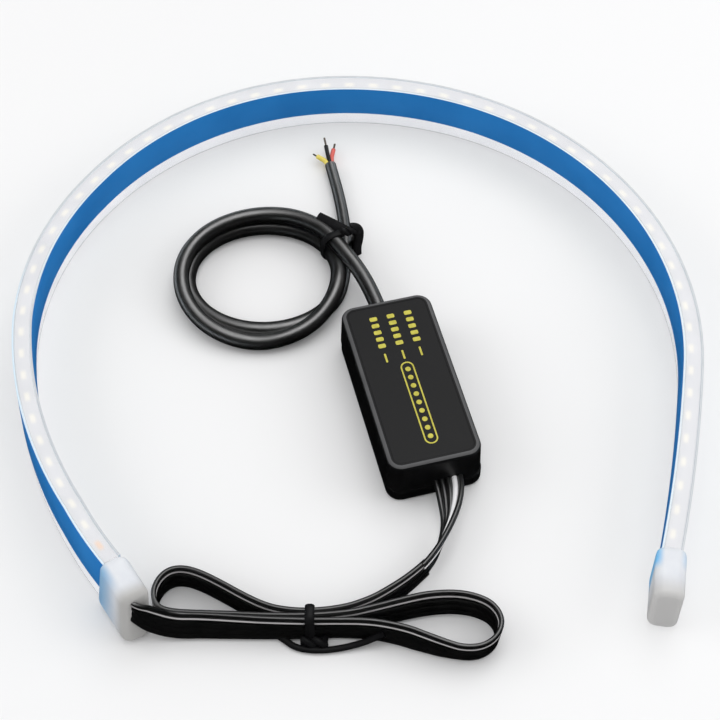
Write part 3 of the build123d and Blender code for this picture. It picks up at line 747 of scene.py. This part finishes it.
def knot(name, start, end, spread, thick):
    """Two strands twisted once round each other between two points, in mm."""
    start, end = Vector(start), Vector(end)
    ahead = (end - start).normalized()
    first = ahead.orthogonal().normalized()
    second = ahead.cross(first)
    twisted = []
    for half_turn in (0, math.pi):
        points = []
        for step in range(knot_steps + 1):
            share = step / knot_steps
            turn = 2 * math.pi * share + half_turn
            out = (first * math.cos(turn) + second * math.sin(turn)) * spread
            points.append(tuple(start.lerp(end, share) + out))
        twisted.append(points)
    made = nurbs(name, twisted[0], thick, 3, 3)
    threaded(made.data, twisted[1], 3)
    return made


def loose_end(name, points, first_up, section):
    """A tie's end carried along these control points, in mm."""
    line = followed(name + "_guide", points, 8)
    return swept(name, line, carried(line, first_up), section, crease=50)


ribbon_band = band("ribbon_tie_band", rounded(5.0, 8.7, 1.6, 5, (-90.6, 4.97)),
                   lambda a, b: mm(-11.5, a + 0.16 * (b - ribbon_up), b), band_section)
settled(ribbon_band, "tie_black", [tie_black], "ribbon_tie")
ribbon_knot = knot("ribbon_tie_knot", (-13.4, -94.3, 1.8), (-7.4, -94.3, 1.8), 0.7, 1.9)
settled(ribbon_knot, "tie_black", [tie_black])
ribbon_loose = loose_end("ribbon_tie_loose", [(-19.4, -92.2, 0.9), (-17.8, -93.4, 0.9), (-15.0, -95.5, 0.9),
                                              (-10.2, -96.3, 0.9), (-4.3, -95.8, 0.95), (1.7, -94.6, 1.8),
                                              (5.2, -93.9, 3.6), (7.2, -93.7, 5.0)], (0, 0, 1), cord_section)
settled(ribbon_loose, "tie_black", [tie_black])

tie_turn = math.radians(25)
tie_middle = (-5.6, 32.3)


def coil_place(a, b):
    """A point of the upright plane across the coil, in metres."""
    return mm(tie_middle[0] + a * math.cos(tie_turn), tie_middle[1] + a * math.sin(tie_turn), b)


coil_band = band("coil_tie_band", rounded(10.2, 10.0, 3.4, 6, (0.3, 5.65)), coil_place, tie_section)
settled(coil_band, "tie_black", [tie_black], "coil_tie")
coil_knot = knot("coil_tie_knot", (-4.2, 32.5, 10.8), (-0.6, 33.6, 10.3), 0.6, 1.6)
settled(coil_knot, "tie_black", [tie_black])
for name, points, first_up in (
        ("coil_tie_stub", [(-2.6, 33.1, 10.6), (-6.8, 36.2, 10.4), (-11.2, 39.3, 9.9)], (0, -0.4, 0.9)),
        ("coil_tie_loop", [(-1.6, 34.4, 10.5), (-0.1, 34.9, 10.4), (1.1, 34.1, 9.2), (0.9, 33.2, 6.4),
                           (0.2, 32.2, 3.6), (0.4, 31.5, 1.7)], (0, -0.55, 0.83))):
    settled(loose_end(name, points, first_up, wide_section), "tie_black", [tie_black])

# Finishes of the solids that stay
for coat, names in (
        (finish("flex", (0.55, 0.50, 0.36), (0.66, 0.60, 0.44), 400, (0.35, 0.45), 0.05), ("flex_circuit",)),
        (finish("phosphor", (0.80, 0.70, 0.30), (0.90, 0.80, 0.42), 900, (0.35, 0.45), 0.05), ("leds",)),
        (finish("amber", (0.85, 0.38, 0.08), (0.92, 0.48, 0.14), 900, (0.35, 0.45), 0.05), ("end_led",)),
        (finish("chips", (0.015, 0.015, 0.016), (0.03, 0.03, 0.031), 900, (0.40, 0.55), 0.1),
         ("strip_resistors", "controller_chip", "transistors", "regulator", "diode", "board_resistors")),
        (finish("solder", (0.55, 0.55, 0.55), (0.70, 0.70, 0.69), 700, (0.25, 0.4), 0.1, Metallic=1.0),
         ("strip_joints", "board_joints")),
        (finish("board", (0.02, 0.13, 0.05), (0.03, 0.18, 0.07), 300, (0.35, 0.5), 0.08), ("control_board",)),
        (finish("ceramic", (0.42, 0.30, 0.18), (0.55, 0.42, 0.28), 700, (0.4, 0.5), 0.05),
         ("board_capacitors",)),
        (finish("can", (0.55, 0.56, 0.58), (0.68, 0.69, 0.70), 500, (0.25, 0.35), 0.05, Metallic=1.0),
         ("capacitor",)),
        (red, ("supply_cores",))):
    for name in names:
        for slot in nodes[name].material_slots:
            slot.material = coat

# Floor and light; only the top lamp shows in reflections
floor_half, floor_level = 3000, -0.05
world_strength = 0.7
floor_verts = [mm(x * floor_half, y * floor_half, floor_level)
               for x, y in ((-1, -1), (1, -1), (1, 1), (-1, 1))]
floor = built("floor", floor_verts, [(0, 1, 2, 3)])
floor.data.materials.append(finish("floor", (0.86, 0.86, 0.865), (0.87, 0.87, 0.875), 3, (0.5, 0.55)))
floor.visible_glossy = False

world = bpy.data.worlds.new("world")
scene.world = world
world.use_nodes = True
world.node_tree.nodes["Background"].inputs["Color"].default_value = (1, 1, 1, 1)
world.node_tree.nodes["Background"].inputs["Strength"].default_value = world_strength
world.cycles_visibility.glossy = False


def lit(name, place, wide, tall, watts):
    """A soft lamp aimed at the origin, its place and size in metres."""
    lamp_data = bpy.data.lights.new(name, "AREA")
    lamp_data.shape = "RECTANGLE"
    lamp_data.size = wide
    lamp_data.size_y = tall
    lamp_data.energy = watts
    made = bpy.data.objects.new(name, lamp_data)
    made.location = place
    made.rotation_euler = (Vector() - Vector(place)).to_track_quat("-Z", "Y").to_euler()
    scene.collection.objects.link(made)
    return made


lit("top", (0.16, 0.3, 1.05), 0.7, 1.3, 4.1)
for name, x in (("left", -0.9), ("right", 0.9)):
    lit(name, (x, 0, 0.55), 0.8, 0.6, 2.3).visible_glossy = False
